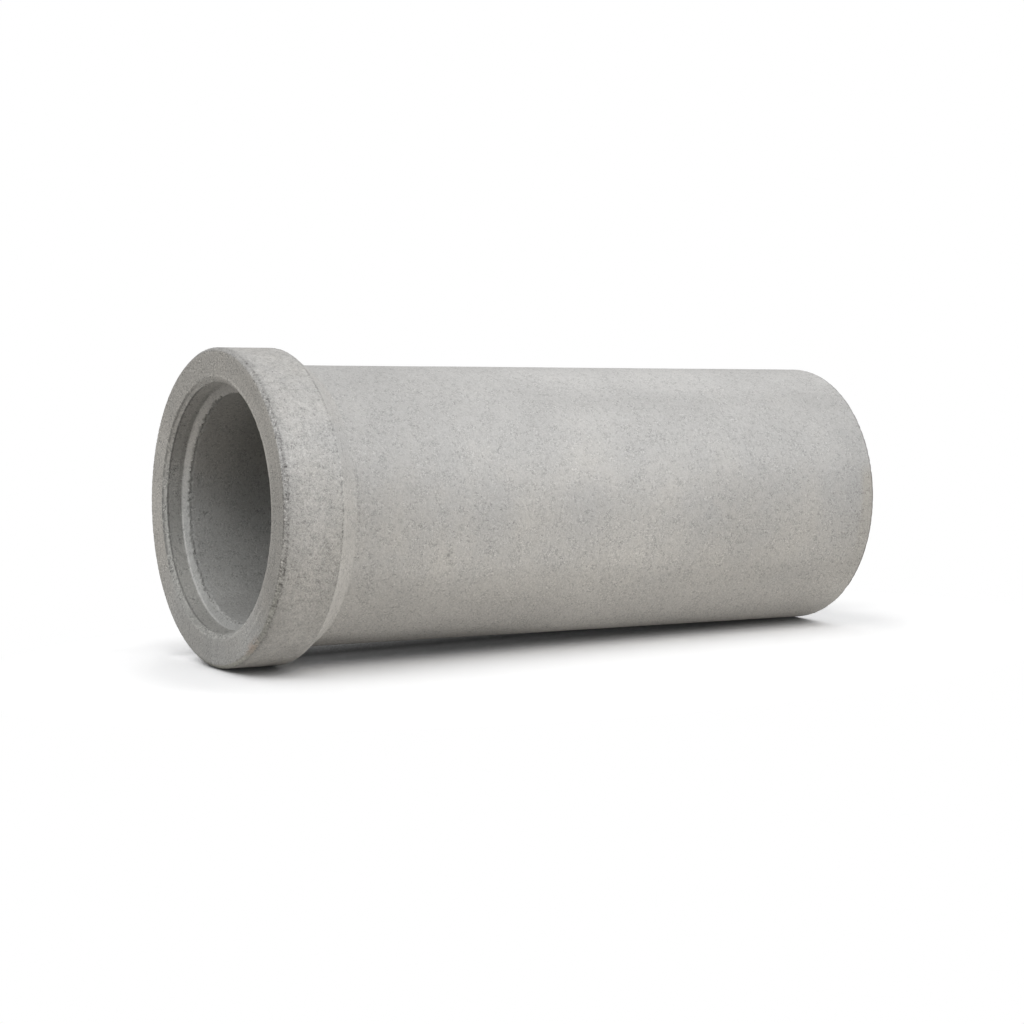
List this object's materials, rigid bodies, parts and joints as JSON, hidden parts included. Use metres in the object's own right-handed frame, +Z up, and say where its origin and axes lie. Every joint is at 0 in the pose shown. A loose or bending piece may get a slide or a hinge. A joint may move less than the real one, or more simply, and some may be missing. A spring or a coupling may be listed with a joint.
{
  "type": "concrete sewer pipe",
  "caption": "Cast concrete sewer pipe, a thick-walled barrel with a wider socketed bell at one end, lying on its side on its bell and its plain end.",
  "frame": {"origin": "on the floor, at the middle of the bottom of the lying pipe's bounding box", "axes": "+X along the pipe from the bell to the plain end, seen from above, +Z up. The pipe's own axis slopes 1.47 degrees down towards +X, because the bell is wider than the barrel"},
  "size_m": [2.5858, 1.1194, 1.1243],
  "materials": {
    "concrete": "bare cast concrete, matt, fine pores and faint mottling, rough broken arrises"
  },
  "bodies": {
    "root": {"pipe": "concrete"}
  },
  "joints": []
}
